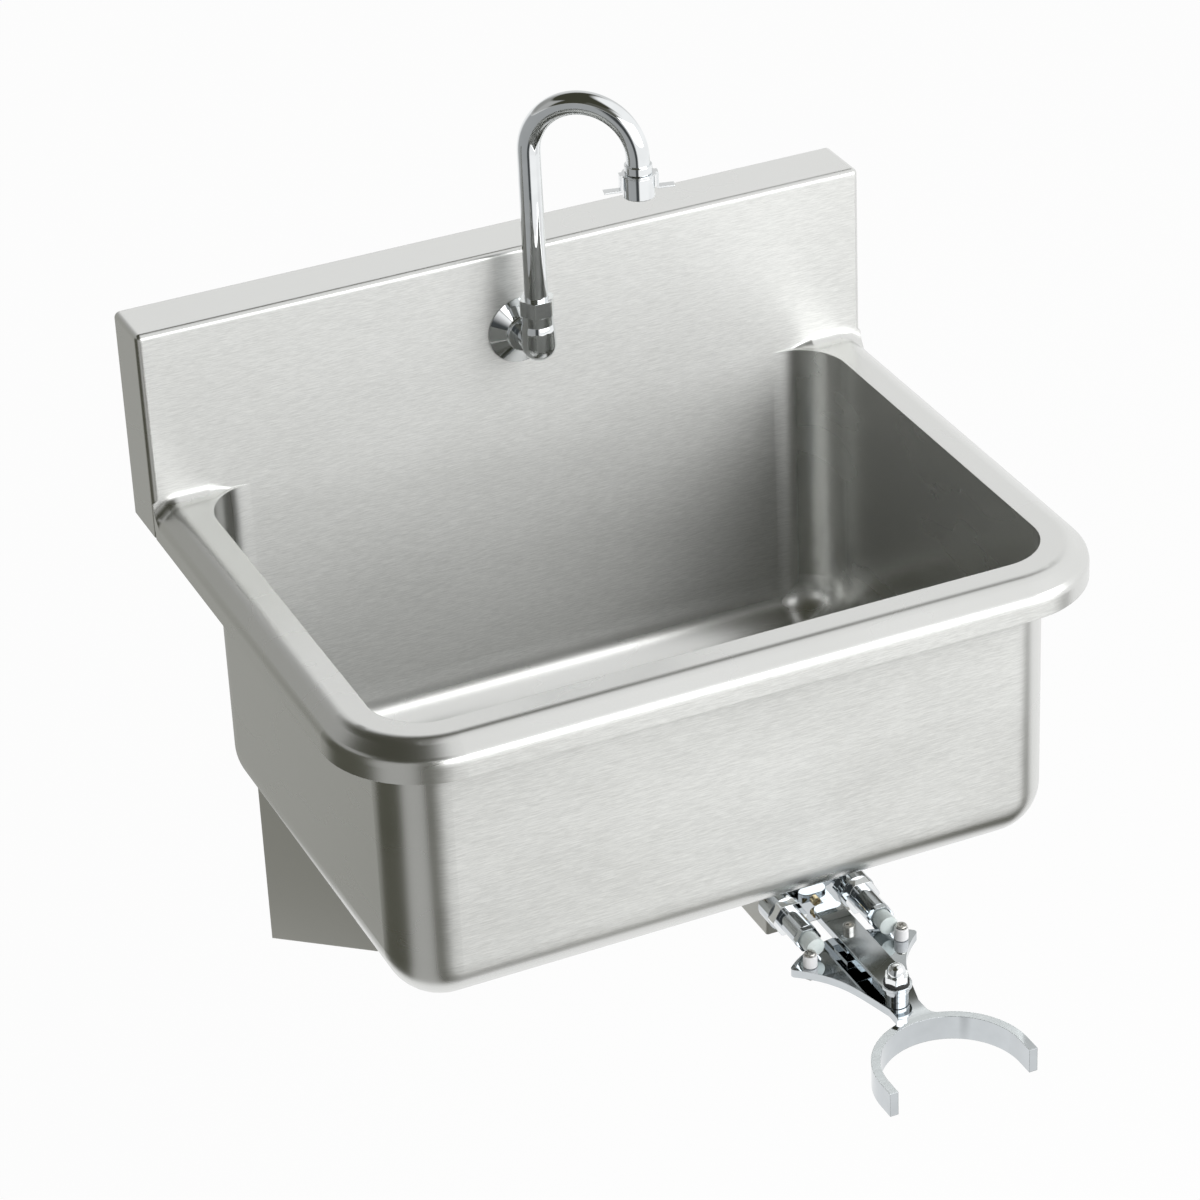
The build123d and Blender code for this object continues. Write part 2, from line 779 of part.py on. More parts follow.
shank_back = splash_depth - shank_clear_of_wall
shank_nut_back = sheet + shank_washer_height + shank_nut_height
with BuildPart() as faucet_elbow:
    body = elbow_body_diameter / 2
    centre = faucet_rise + elbow_body_lift
    leg_back = shank_nut_back + shank_tail_gap
    add(tube(shank_out, -shank_back, shank_back - leg_back, shank_tail_diameter))
    add(tube(shank_out, -leg_back, leg_back + faucet_reach, elbow_leg_diameter))
    with BuildSketch(Plane(origin=riser_up.origin, x_dir=(1, 0, 0), z_dir=(0, -1, 0))):
        with BuildLine():
            RadiusArc((0, centre - body), (body, centre), -body)
            Line((body, centre), (body * 0.985, elbow_shoulder_rise - 6))
            Spline(
                (body * 0.985, elbow_shoulder_rise - 6),
                (elbow_ring_diameter / 2, elbow_ring_rise),
                tangents=((0, 1), (-0.35, 1)),
            )
            Polyline(
                (elbow_ring_diameter / 2, elbow_ring_rise),
                (elbow_ring_diameter / 2, elbow_ring_top_rise),
                (elbow_neck_diameter / 2, elbow_ring_top_rise),
                (elbow_neck_diameter / 2, elbow_ring_top_rise + elbow_neck_height),
                (0, elbow_ring_top_rise + elbow_neck_height),
                (0, centre - body),
            )
        make_face()
    revolve(axis=Axis(riser_up.origin, (0, 0, 1)))
    add(tube(shank_out, -shank_back, shank_back + faucet_reach, elbow_bore), mode=Mode.SUBTRACT)
    add(tube(riser_up, faucet_rise, socket_rise - faucet_rise, elbow_bore), mode=Mode.SUBTRACT)
    neck_top = elbow_ring_top_rise + elbow_neck_height
    socket = spout_diameter + 2 * swivel_gap
    groove = o_ring_section + 2 * swivel_gap
    add(tube(riser_up, socket_rise, neck_top - socket_rise, socket), mode=Mode.SUBTRACT)
    for rise in o_ring_rises:
        add(tube(riser_up, rise - groove / 2, groove, socket + 2 * groove), mode=Mode.SUBTRACT)
save(faucet_elbow, "faucet_elbow")

with BuildPart() as o_rings:
    for rise in o_ring_rises:
        with BuildSketch(Plane(origin=riser_up.origin, x_dir=(1, 0, 0), z_dir=(0, -1, 0))):
            with Locations((socket / 2 + o_ring_section / 2, rise)):
                Circle(o_ring_section / 2)
        revolve(axis=Axis(riser_up.origin, (0, 0, 1)))
save(o_rings, "o_rings")

with BuildPart() as shank_washer:
    back = -sheet - shank_washer_height
    add(tube(shank_out, back, shank_washer_height, shank_washer_diameter, elbow_leg_diameter))
save(shank_washer, "shank_washer")

with BuildPart() as shank_nut:
    add(hex_bar(shank_out, -shank_nut_back, shank_nut_height, shank_nut_flats, elbow_leg_diameter))
save(shank_nut, "shank_nut")

with BuildPart() as swivel_nut:
    nut_height = swivel_nut_rise - elbow_ring_top_rise
    neck_room = elbow_neck_diameter + 2 * thread_gap
    add(hex_bar(riser_up, elbow_ring_top_rise, nut_height, swivel_nut_flats, socket))
    add(
        tube(riser_up, elbow_ring_top_rise, nut_height - swivel_nut_lip, neck_room),
        mode=Mode.SUBTRACT,
    )
save(swivel_nut, "swivel_nut")

# Spout: it swings about the riser and its outlet is on the far leg of the bend

spout_plane = Plane(
    origin=riser_up.origin, x_dir=(*spout_aim, 0), z_dir=(spout_aim[1], -spout_aim[0], 0)
)
outlet_down = Plane(origin=(outlet_x, outlet_y, outlet_z), x_dir=(*spout_aim, 0), z_dir=(0, 0, -1))

with BuildPart() as spout:
    foot = socket_rise + spout_foot_gap
    outlet_end = spout_bend_rise + collar_above_bend - spout_leg
    with BuildLine(spout_plane) as bend:
        Line((0, foot), (0, spout_bend_rise))
        RadiusArc((0, spout_bend_rise), (spout_reach, spout_bend_rise), spout_reach / 2)
        Line((spout_reach, spout_bend_rise), (spout_reach, outlet_end))
    with BuildSketch(riser_up.offset(foot)):
        Circle(spout_diameter / 2)
        Circle(spout_diameter / 2 - spout_wall, mode=Mode.SUBTRACT)
    sweep(path=bend.wire())
    collet = neck_top + turn_gap
    collet_height = swivel_nut_rise - swivel_nut_lip - turn_gap - collet
    add(tube(riser_up, collet, collet_height, elbow_neck_diameter - turn_gap, spout_diameter - spout_wall))
save(spout, "spout")

with BuildPart() as outlet_collar:
    add(tube(outlet_down, 0, collar_height, collar_diameter))
    rims = outlet_collar.edges().filter_by(GeomType.CIRCLE)
    fillet(rims, 0.8)
    add(tube(outlet_down, collar_height, nipple_length, nipple_diameter))
    add(tube(outlet_down, 0, spout_leg, spout_diameter), mode=Mode.SUBTRACT)
    add(tube(outlet_down, 0, collar_height + nipple_length, nipple_bore), mode=Mode.SUBTRACT)
save(outlet_collar, "outlet_collar")

with BuildPart() as selector_ring:
    ring_top = collar_height + turn_gap
    tab_in = head_diameter / 2 + tab_clear + tab_step
    add(tube(outlet_down, ring_top, ring_gauge, ring_diameter))
    turn = swing - math.radians(90 - tab_turn)
    for side in (0, math.pi):
        reach = (math.cos(turn + side), math.sin(turn + side), 0)
        across = (-reach[1], reach[0], 0)
        with BuildSketch(Plane(origin=outlet_down.origin, x_dir=reach, z_dir=(reach[1], -reach[0], 0))):
            low = -ring_top - ring_gauge
            with BuildLine():
                Polyline(
                    (0, -ring_top),
                    (tab_in + ring_gauge, -ring_top),
                    (tab_in + ring_gauge, low - tab_drop + ring_gauge),
                    (tab_in + ring_gauge + tab_length, low - tab_drop + ring_gauge),
                    (tab_in + ring_gauge + tab_length, low - tab_drop),
                    (tab_in, low - tab_drop),
                    (tab_in, low),
                    (0, low),
                    (0, -ring_top),
                )
            make_face()
        extrude(amount=tab_width / 2, both=True)
    add(tube(outlet_down, ring_top, ring_gauge, nipple_diameter + 2 * swivel_gap), mode=Mode.SUBTRACT)
save(selector_ring, "selector_ring")

with BuildPart() as outlet_head:
    head_top = ring_top + ring_gauge + turn_gap
    head_end = head_top + head_height
    nipple_end = collar_height + nipple_length
    add(tube(outlet_down, head_top, head_height, head_diameter))
    fillet(outlet_head.edges().filter_by(GeomType.CIRCLE), 0.7)
    add(tube(outlet_down, head_top, nipple_end - head_top, nipple_diameter), mode=Mode.SUBTRACT)
    add(tube(outlet_down, nipple_end, head_end - nipple_end, head_bore), mode=Mode.SUBTRACT)
save(outlet_head, "outlet_head")

with BuildPart() as flow_insert:
    insert_start = head_end - insert_height - turn_gap
    add(tube(outlet_down, insert_start, insert_height, head_bore))
    add(tube(outlet_down, insert_start, insert_height / 2, head_bore - 3), mode=Mode.SUBTRACT)
    with BuildSketch(outlet_down.offset(insert_start)):
        with HexLocations(insert_pitch / 2, 5, 5):
            Circle(insert_hole / 2)
    extrude(amount=insert_height, mode=Mode.SUBTRACT)
save(flow_insert, "flow_insert")

# Knee valve: a channel under the bowl, a body with two barrels and an arm for the fork's pivot

valve_front = Plane(origin=(valve_x, plate_y, valve_z), x_dir=(1, 0, 0), z_dir=(0, -1, 0))


def barrel_front(hand):
    """Plane of one barrel: its normal runs from the plate to the user."""
    return Plane(
        origin=(valve_x + hand * barrel_pitch / 2, plate_y, valve_z), x_dir=(1, 0, 0), z_dir=(0, -1, 0)
    )


with BuildPart() as valve_plate:
    foot_z = fork_z - plate_below_fork
    inner_width = 2 * (plate_half_width - plate_gauge)
    with BuildSketch(Plane.XY.offset(foot_z)):
        with Locations((valve_x, plate_y + plate_depth / 2)):
            Rectangle(2 * plate_half_width, plate_depth)
        with Locations((valve_x, plate_y + plate_gauge + plate_depth / 2)):
            Rectangle(inner_width, plate_depth, mode=Mode.SUBTRACT)
    extrude(amount=plate_top_z - foot_z)
    bends = valve_plate.edges().filter_by(Axis.Z).group_by(Axis.Y)[0]
    fillet(bends, plate_gauge * 0.9)
    with BuildSketch(Plane.XY.offset(plate_top_z)):
        with Locations((valve_x, plate_y + plate_gauge / 2 + plate_leg / 2)):
            Rectangle(inner_width + plate_gauge, plate_leg)
        with Locations(*stud_places()[-2:]):
            Circle(stud_hole / 2, mode=Mode.SUBTRACT)
    extrude(amount=-plate_gauge)
    with BuildSketch(valve_front.offset(-plate_gauge)):
        with Locations(*[(offset_x, 0) for offset_x in port_offsets]):
            Circle(port_diameter / 2 + port_hole_gap)
        with Locations(*valve_screw_places):
            Circle(valve_screw_diameter / 2)
    extrude(amount=plate_gauge, mode=Mode.SUBTRACT)
save(valve_plate, "valve_plate")

with BuildPart() as valve_body:
    with BuildSketch(valve_front):
        RectangleRounded(valve_block_width, valve_block_height, 3)
    extrude(amount=valve_block_depth)
    with BuildSketch(valve_front):
        Rectangle(barrel_pitch, valve_bridge_height)
        for place in valve_screw_places:
            with Locations(place):
                Circle(valve_ear_diameter / 2)
            with Locations((place[0] / 2, place[1])):
                Rectangle(abs(place[0]), valve_ear_diameter)
    extrude(amount=valve_ear_depth)
    for hand in (-1, 1):
        add(tube(barrel_front(hand), 0, valve_boss_depth, valve_boss_diameter))
    for offset_x in port_offsets:
        port = Plane(origin=(valve_x + offset_x, plate_y, valve_z), z_dir=(0, 1, 0))
        add(tube(port, 0, port_length, port_diameter))
        add(tube(port, -valve_ear_depth, port_length + valve_ear_depth, port_bore), mode=Mode.SUBTRACT)
    for hand in (-1, 1):
        hollow = valve_boss_depth - valve_boss_floor
        add(tube(barrel_front(hand), valve_boss_floor, hollow, housing_bore), mode=Mode.SUBTRACT)
    with BuildSketch(Plane.XY.offset(arm_under_z)):
        with BuildLine():
            notch_x = valve_x + block_screw_side + block_screw_head / 2 + tongue_notch_gap
            Polyline(
                (notch_x, block_y),
                (notch_x, block_y - tongue_notch),
                (valve_x + tongue_left, block_y - tongue_notch),
                (valve_x + tongue_left, tongue_end_y),
                (valve_x + tongue_right, tongue_end_y),
                (valve_x + tongue_right, block_y),
                (notch_x, block_y),
            )
        make_face()
    extrude(amount=-tongue_height)
    with BuildSketch(valve_front.offset(valve_block_depth)):
        with Locations(*block_screw_places):
            Circle(block_screw_diameter / 2)
    extrude(amount=-block_screw_length, mode=Mode.SUBTRACT)
    add(tube(stop_down, 0, tongue_height + arm_gauge, stop_thread), mode=Mode.SUBTRACT)
    with BuildSketch(valve_front):
        with Locations(*valve_screw_places):
            Circle(valve_screw_diameter / 2)
    extrude(amount=valve_ear_depth, mode=Mode.SUBTRACT)
save(valve_body, "valve_body")

with BuildPart() as valve_screws:
    for place in valve_screw_places:
        screw = Plane(
            origin=(valve_x + place[0], plate_y, valve_z + place[1]), x_dir=(1, 0, 0), z_dir=(0, -1, 0)
        )
        back = -plate_gauge - valve_screw_head_height
        add(tube(screw, back, valve_ear_depth - back, valve_screw_diameter))
        add(hex_bar(screw, valve_ear_depth, valve_screw_head_height, valve_screw_head))
save(valve_screws, "valve_screws")

with BuildPart() as block_screws:
    face = valve_front.offset(valve_block_depth)
    with BuildSketch(face):
        with Locations(*block_screw_places):
            Circle(block_screw_diameter / 2)
    extrude(amount=-block_screw_length)
    with BuildSketch(face):
        with Locations(*block_screw_places):
            Circle(block_screw_head / 2)
    extrude(amount=block_screw_head_height)
    with BuildSketch(face.offset(block_screw_head_height)):
        with Locations(*block_screw_places):
            Rectangle(block_screw_head + 1, slot_width, rotation=slot_turn)
    extrude(amount=-slot_depth, mode=Mode.SUBTRACT)
save(block_screws, "block_screws")

with BuildPart() as bonnet_nuts:
    for hand in (-1, 1):
        face = barrel_front(hand)
        add(hex_bar(face, valve_boss_depth, bonnet_height, bonnet_flats, housing_neck_diameter))
save(bonnet_nuts, "bonnet_nuts")

# Stations along a barrel, measured from the plate's face to the user

housing_start = valve_boss_depth + bonnet_height
housing_end = housing_start + housing_length + housing_end_length
contact_reach = cap_dome_radius + roller_diameter / 2 + contact_gap
contact_offset = roller_x - barrel_pitch / 2
contact_run = math.sqrt(contact_reach**2 - contact_offset**2)
cap_apex = plate_y - pivot_y - roller_y - contact_run + cap_dome_radius
cap_back = cap_apex - cap_length


def cartridge_housing(hand):
    """Turned housing: tail in the body, neck in the bonnet nut, six-sided nose."""
    face = barrel_front(hand)
    tail = valve_boss_depth - housing_tail_start
    guide_end = guide_start + guide_length
    with BuildPart() as housing:
        add(tube(face, housing_tail_start, tail, housing_bore))
        add(tube(face, valve_boss_depth, bonnet_height, housing_neck_diameter))
        add(tube(face, housing_start, housing_length, housing_diameter))
        add(hex_bar(face, housing_start + housing_length, housing_end_length, housing_end_flats))
        add(
            tube(face, housing_tail_start, guide_start - housing_tail_start, housing_tail_bore),
            mode=Mode.SUBTRACT,
        )
        add(
            tube(face, guide_start, guide_length, plunger_diameter + 2 * plunger_gap),
            mode=Mode.SUBTRACT,
        )
        add(tube(face, guide_end, housing_end - guide_end, housing_bore), mode=Mode.SUBTRACT)
    return housing


def plunger(hand):
    """Round stem that slides in the housing's guide and carries the cap."""
    start = cap_back + cap_socket - plunger_length
    with BuildPart() as stem:
        add(tube(barrel_front(hand), start, plunger_length, plunger_diameter))
    return stem


def plunger_cap(hand):
    """Domed cap on the end of the stem."""
    face = barrel_front(hand)
    dome_centre = cap_apex - cap_dome_radius
    with BuildPart() as cap:
        add(tube(face, cap_back, cap_length, cap_diameter))
        with Locations(face.offset(dome_centre).location):
            Sphere(cap_dome_radius, mode=Mode.INTERSECT)
        add(tube(face, cap_back, cap_socket, plunger_diameter), mode=Mode.SUBTRACT)
    return cap


def return_spring(hand):
    """Coil round the stem between the housing's guide and the cap."""
    face = barrel_front(hand)
    start = guide_start + guide_length + spring_wire / 2 + spring_end_gap
    length = cap_back - start - spring_wire / 2 - spring_end_gap
    radius = spring_diameter / 2
    base = face.offset(start)
    with BuildPart() as coil:
        with BuildLine() as path:
            Helix(length / spring_turns, length, radius, center=base.origin, direction=(0, -1, 0))
        wire = path.wire()
        with BuildSketch(Plane(origin=wire @ 0, z_dir=wire % 0)):
            Circle(spring_wire / 2)
        sweep(path=wire)
    return coil


for hand, side in ((-1, "left"), (1, "right")):
    save(cartridge_housing(hand), f"cartridge_housing_{side}")
    save(plunger(hand), f"plunger_{side}")
    save(plunger_cap(hand), f"plunger_cap_{side}")
    save(return_spring(hand), f"return_spring_{side}")

# Arm over the valve's tongue, with the fork's pivot at its front end

pivot_up = Plane(origin=(valve_x, pivot_y, fork_z), x_dir=(1, 0, 0), z_dir=(0, 0, 1))
arm_under = arm_under_z - fork_z
arm_boss_end = arm_under - arm_boss_height

with BuildPart() as valve_arm:
    with BuildSketch(pivot_up.offset(arm_under)):
        with Locations((0, arm_rear / 2)):
            Rectangle(arm_width, arm_rear)
        Circle(arm_width / 2)
    extrude(amount=arm_gauge)
    corners = valve_arm.edges().filter_by(Axis.Z).group_by(Axis.Y)[-1]
    fillet(corners, arm_corner)
    fillet(valve_arm.faces().sort_by(Axis.Z)[-1].edges(), arm_edge)
    add(tube(pivot_up, arm_boss_end, arm_boss_height, arm_boss_diameter))
    add(tube(pivot_up, arm_boss_end, arm_boss_height + arm_gauge, pivot_diameter), mode=Mode.SUBTRACT)
    add(tube(stop_down, 0, arm_gauge, stop_thread), mode=Mode.SUBTRACT)
save(valve_arm, "valve_arm")

with BuildPart() as stop_screw:
    add(tube(stop_down, 0, arm_gauge + tongue_height, stop_thread))
    add(tube(stop_down, -stop_proud, stop_proud, stop_head))
    fillet(stop_screw.edges().filter_by(GeomType.CIRCLE).group_by(Axis.Z)[-1], 0.6)
    with BuildSketch(stop_down.offset(-stop_proud)):
        hexagon(stop_socket_flats)
    extrude(amount=stop_socket_depth, mode=Mode.SUBTRACT)
save(stop_screw, "stop_screw")

acorn_start = arm_under + arm_gauge + washer_height
with BuildPart() as pivot_washer:
    add(tube(pivot_up, arm_under + arm_gauge, washer_height, washer_diameter, pivot_diameter))
save(pivot_washer, "pivot_washer")

with BuildPart() as acorn_nut:
    dome = acorn_dome_diameter / 2
    neck = acorn_height - dome
    add(hex_bar(pivot_up, acorn_start, acorn_hex_height, acorn_flats))
    add(tube(pivot_up, acorn_start, neck, acorn_dome_diameter))
    with Locations(pivot_up.offset(acorn_start + neck).location):
        Sphere(dome)
    add(tube(pivot_up, acorn_start - dome, dome, acorn_flats), mode=Mode.SUBTRACT)
    add(tube(pivot_up, acorn_start, bolt_in_acorn, pivot_diameter), mode=Mode.SUBTRACT)
save(acorn_nut, "acorn_nut")

with BuildPart() as pivot_bolt:
    head_top = -fork_thickness - thrust_gap
    add(tube(pivot_up, head_top, acorn_start + bolt_in_acorn - head_top, pivot_diameter))
    add(hex_bar(pivot_up, head_top - pivot_head_height, pivot_head_height, pivot_head_flats))
save(pivot_bolt, "pivot_bolt")

# Knee fork: two ears with rollers behind the pivot, a half-round yoke in front of it

bush_diameter = pivot_diameter + 2 * pivot_gap + 2 * bush_wall
fork_boss_height = arm_boss_end - thrust_gap
bush_length = fork_thickness + fork_boss_height
yoke_centre = (0, -yoke_reach)


def yoke_plan():
    """Half ring with short straight ends, open to the front."""
    outer = yoke_inner_radius + yoke_wall
    middle = (yoke_inner_radius + outer) / 2
    with Locations(yoke_centre):
        Circle(outer)
        Circle(yoke_inner_radius, mode=Mode.SUBTRACT)
    with Locations((0, -yoke_reach - outer)):
        Rectangle(2 * outer, 2 * outer, mode=Mode.SUBTRACT)
    with Locations(*[(hand * middle, -yoke_reach - yoke_tip / 2) for hand in (-1, 1)]):
        Rectangle(yoke_wall, yoke_tip)


with BuildPart() as knee_fork:
    with BuildSketch(pivot_up) as plan:
        with BuildLine():
            right = [(ear_half_width, ear_reach), *fork_flank, (neck_half_width, neck_start)]
            left = [(-x, y) for x, y in reversed(right)]
            ThreePointArc(left[-1], (0, fork_back_reach), right[0])
            Spline(*right)
            Spline(*left)
            foot_y = -yoke_reach + yoke_inner_radius + yoke_wall / 2
            Line(right[-1], (neck_half_width, foot_y))
            Line((neck_half_width, foot_y), (-neck_half_width, foot_y))
            Line((-neck_half_width, foot_y), left[0])
        make_face()
        ears = plan.vertices().filter_by(lambda v: abs(v.Y - ear_reach) < 0.01)
        fillet(ears, ear_tip_radius)
        yoke_plan()
        throat = plan.vertices().filter_by(lambda v: abs(abs(v.X) - neck_half_width) < 0.01)
        throat = throat.filter_by(lambda v: v.Y < neck_start - 1)
        fillet(throat, neck_flare)
    extrude(amount=-fork_thickness)
    with BuildSketch(pivot_up):
        yoke_plan()
    extrude(amount=-yoke_depth)
    add(tube(pivot_up, 0, fork_boss_height, fork_boss_diameter))
    add(tube(pivot_up, -fork_thickness, bush_length, bush_diameter), mode=Mode.SUBTRACT)
    with BuildSketch(pivot_up):
        with Locations((-roller_x, roller_y), (roller_x, roller_y)):
            Circle(roller_screw_diameter / 2)
    extrude(amount=-fork_thickness, mode=Mode.SUBTRACT)
save(knee_fork, "knee_fork")

with BuildPart() as fork_bush:
    bush_bore = pivot_diameter + 2 * pivot_gap
    add(tube(pivot_up, -fork_thickness, bush_length, bush_diameter, bush_bore))
save(fork_bush, "fork_bush")


def roller_post(hand):
    """Upright axis of one roller, from the fork's top."""
    return Plane(
        origin=(valve_x + hand * roller_x, pivot_y + roller_y, fork_z), x_dir=(1, 0, 0), z_dir=(0, 0, 1)
    )


with BuildPart() as roller_screws:
    head_start = roller_height + 2 * roller_float
    for hand in (-1, 1):
        post = roller_post(hand)
        foot = -fork_thickness - roller_nut_height
        add(tube(post, foot, head_start - foot, roller_screw_diameter))
        add(tube(post, head_start, roller_screw_head_height, roller_screw_head))
    tops = roller_screws.edges().filter_by(GeomType.CIRCLE).group_by(Axis.Z)[-1]
    fillet(tops, roller_screw_head_height * 0.6)
    for hand in (-1, 1):
        with BuildSketch(roller_post(hand).offset(head_start + roller_screw_head_height)):
            for turned in (slot_turn, slot_turn + 90):
                Rectangle(roller_screw_head / 2, slot_width, rotation=turned)
        extrude(amount=-slot_depth, mode=Mode.SUBTRACT)
save(roller_screws, "roller_screws")

with BuildPart() as roller_nuts:
    for hand in (-1, 1):
        foot = -fork_thickness - roller_nut_height
        add(hex_bar(roller_post(hand), foot, roller_nut_height, roller_nut_flats, roller_screw_diameter))
save(roller_nuts, "roller_nuts")


def roller(hand):
    """Plain roller with broken edges on its screw."""
    post = roller_post(hand)
    with BuildPart() as wheel:
        add(tube(post, roller_float, roller_height, roller_diameter))
        fillet(wheel.edges().filter_by(GeomType.CIRCLE), 0.6)
        add(
            tube(post, roller_float, roller_height, roller_screw_diameter + 2 * roller_gap),
            mode=Mode.SUBTRACT,
        )
    return wheel


for hand, side in ((-1, "left"), (1, "right")):
    save(roller(hand), f"roller_{side}")
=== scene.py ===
import json
import math

import bpy
from mathutils import Matrix, Vector


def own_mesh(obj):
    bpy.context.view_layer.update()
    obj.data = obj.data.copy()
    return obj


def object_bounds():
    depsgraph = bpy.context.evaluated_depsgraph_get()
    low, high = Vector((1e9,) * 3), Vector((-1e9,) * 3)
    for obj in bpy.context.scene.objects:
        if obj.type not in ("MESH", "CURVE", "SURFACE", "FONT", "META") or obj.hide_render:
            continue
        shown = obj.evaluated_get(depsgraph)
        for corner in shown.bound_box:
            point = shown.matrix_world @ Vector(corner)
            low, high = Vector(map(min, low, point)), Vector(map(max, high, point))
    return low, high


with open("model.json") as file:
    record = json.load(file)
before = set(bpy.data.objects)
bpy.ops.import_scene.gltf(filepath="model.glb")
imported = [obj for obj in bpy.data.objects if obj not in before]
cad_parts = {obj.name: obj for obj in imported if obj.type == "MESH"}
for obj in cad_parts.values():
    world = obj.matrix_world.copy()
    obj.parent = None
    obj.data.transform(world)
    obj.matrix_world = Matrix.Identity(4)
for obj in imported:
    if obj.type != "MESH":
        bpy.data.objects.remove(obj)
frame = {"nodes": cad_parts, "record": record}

CAD_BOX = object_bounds()
NODES = frame["nodes"]
SCENE = bpy.context.scene

# The photograph's camera, in metres and degrees
CAMERA_PLACE = Vector((-1.17911, -2.94628, 1.52525))
CAMERA_AZIMUTH = -23.27
CAMERA_ELEVATION = 30.27
CAMERA_ROLL = -2.67
CAMERA_CLIP = (0.1, 200.0)
SENSOR_WIDTH = 36.0
FOCAL_PIXELS = 4292.0
FRAME_PIXELS = 1200.0

# Noise lies mostly between these values, and an even stretch leaves it as it is
NOISE_LOW = 0.3
NOISE_HIGH = 0.7
EVEN = (1.0, 1.0, 1.0)

# The edge mask grows as the cosine between the rounded and the plain normal falls: on plating it makes worn
# edges rougher, and on stainless it is a painted highlight in the colour
EDGE_WEAR_AND_SHEEN_FROM = 0.99
EDGE_WEAR_AND_SHEEN_TO = 0.85
BEVEL_SAMPLES = 4

# Brushed sheet, in metres: a face is level, or a panel that faces the user, from the second cosine on
LEVEL_COSINES = (0.6, 0.9)
PANEL_COSINES = (0.9, 0.995)
FINE_LINES = (130.0, 130.0, 2400.0)
COARSE_LINES = (60.0, 60.0, 1300.0)
LINE_BREAKUP = 0.6
FINE_SHARE = 0.6
SATIN_SCALE = 700.0
SATIN_TONE = 0.05
MIDDLE_TONE = 0.5
SHEET_CLOUDS = 6.0
SHEET_CLOUD_DETAIL = 4.0
CLOUD_STRETCH = (1.0, 1.0, 2.5)
CLOUD_TONE = 0.12
CLOUD_ROUGHNESS = 0.02
LINE_ROUGHNESS = 0.03
SHEET_EDGE = 0.0008
# Painted highlight: how much lighter sharp edges are made in the stainless colour
SHEET_EDGE_HIGHLIGHT_TONE = 0.3
LINE_DEPTH = 0.0003
PANEL_ANISOTROPY = 0.8

# Plated and turned metal, in metres
FITTING_CLOUD_DETAIL = 3.0
PLATING_CLOUDS = 60.0
PLATING_GRAIN = 900.0
PLATING_LIGHT = 1.03
PLATING_DARK = 0.95
PLATING_EDGE = 0.0005
PLATING_DEPTH = 0.0001
TURNED_WEAR = 0.08
MIRROR_WEAR = 0.12

# Plastic and rubber, in metres
MOULDED_CLOUDS = 90.0
MOULDED_DEPTH = 0.0002
MOULDED_ROUGHNESS = 0.05

# The floor, in metres, and the share of it that shows plain white
FLOOR_DROP = 0.39
FLOOR_SIZE = 60.0
FLOOR_GLOW_SHARE = 0.95
FLOOR_PAINT = (0.95, 0.95, 0.95, 1.0)
WHITE = (1.0, 1.0, 1.0, 1.0)

# The world on a unit sphere: heights between which it darkens, and its shades and bright patch, each with its
# direction, the cosines between which it grows and, for a shade, its depth
WORLD_DARK = (0.05, 0.05, 0.035)
WORLD_DARKENS = (0.60, 0.80)
SHADES_ABOVE = (0.1, 0.3)
BACK_LEFT_SHADE = ((-0.78, 0.42, 0.46), (0.45, 0.85), 0.6)
FRONT_LEFT_SHADE = ((-0.62, -0.72, 0.32), (0.70, 0.92), 0.95)
OVERHEAD_AIM = (0.65, -0.25, 0.72)
OVERHEAD_COSINES = (0.70, 0.86)
MIRROR_BACK = (0.3, 0.6)
MIRROR_BACK_DROP = 0.3

# The card round the object, in metres and degrees: a ring on the floor and an upright wall
CARD_HEADING = 210.0
CARD_REACH = 130.0
CARD_WALL_END = 48.0
CARD_STEPS = 52
CARD_LIFT = 0.005
CARD_RINGS = (0.5, 0.75, 2.2, 2.6)
CARD_RADIUS = 1.6
CARD_TOP = 0.5
MIRROR_START = (1.1, 1.3)

# The card's tones by heading, for brushed metal and for mirror-like plating
CARD_TINT = (1.0, 1.0, 0.72)
CARD_TONES = (
    (-130.0, 1.0),
    (-112.0, 0.42),
    (-70.0, 0.38),
    (-50.0, 0.08),
    (-8.0, 0.08),
    (3.0, 0.45),
    (26.0, 0.45),
    (35.0, 0.08),
    (66.0, 0.08),
    (75.0, 0.18),
    (82.0, 0.18),
    (88.0, 0.08),
    (114.0, 0.08),
    (130.0, 1.0),
)
MIRROR_TINT = (0.88, 0.97, 1.0)
MIRROR_TONES = (
    (-130.0, 1.0),
    (-108.0, 0.90),
    (-94.0, 0.90),
    (-72.0, 0.38),
    (18.0, 0.36),
    (25.0, 0.06),
    (38.0, 0.06),
    (46.0, 0.95),
    (100.0, 0.95),
    (108.0, 0.80),
    (130.0, 0.80),
)

# The soft box in front, in metres and radiance
BOX_PLACE = (1.0, -2.4, 0.65)
BOX_TARGET = (0, -0.25, -0.15)
BOX_SIZE = (3.4, 1.6)
BOX_RADIANCE = 2.3


def feed(tree, node, inputs):
    """Gives a shader node its inputs, which are sockets or plain values."""
    for key, value in inputs.items():
        if isinstance(value, bpy.types.NodeSocket):
            tree.links.new(value, node.inputs[key])
        else:
            node.inputs[key].default_value = value


def add(tree, kind, inputs=None, **settings):
    """A new shader node with its settings and its inputs."""
    made = tree.nodes.new(kind)
    for key, value in settings.items():
        setattr(made, key, value)
    feed(tree, made, inputs or {})
    return made


def maths(tree, operation, first, second=0.0, clamp=False):
    """One Math node's result."""
    made = add(tree, "ShaderNodeMath", {0: first, 1: second}, operation=operation, use_clamp=clamp)
    return made.outputs[0]


def total(tree, *values):
    """The sum of two or more values."""
    result = values[0]
    for value in values[1:]:
        result = maths(tree, "ADD", result, value)
    return result


def fade(tree, value, start, end, low=0.0, high=1.0, kind="SMOOTHSTEP"):
    """Goes from low to high while the value goes from start to end."""
    inputs = {"Value": value, "From Min": start, "From Max": end, "To Min": low, "To Max": high}
    return add(tree, "ShaderNodeMapRange", inputs, interpolation_type=kind).outputs["Result"]


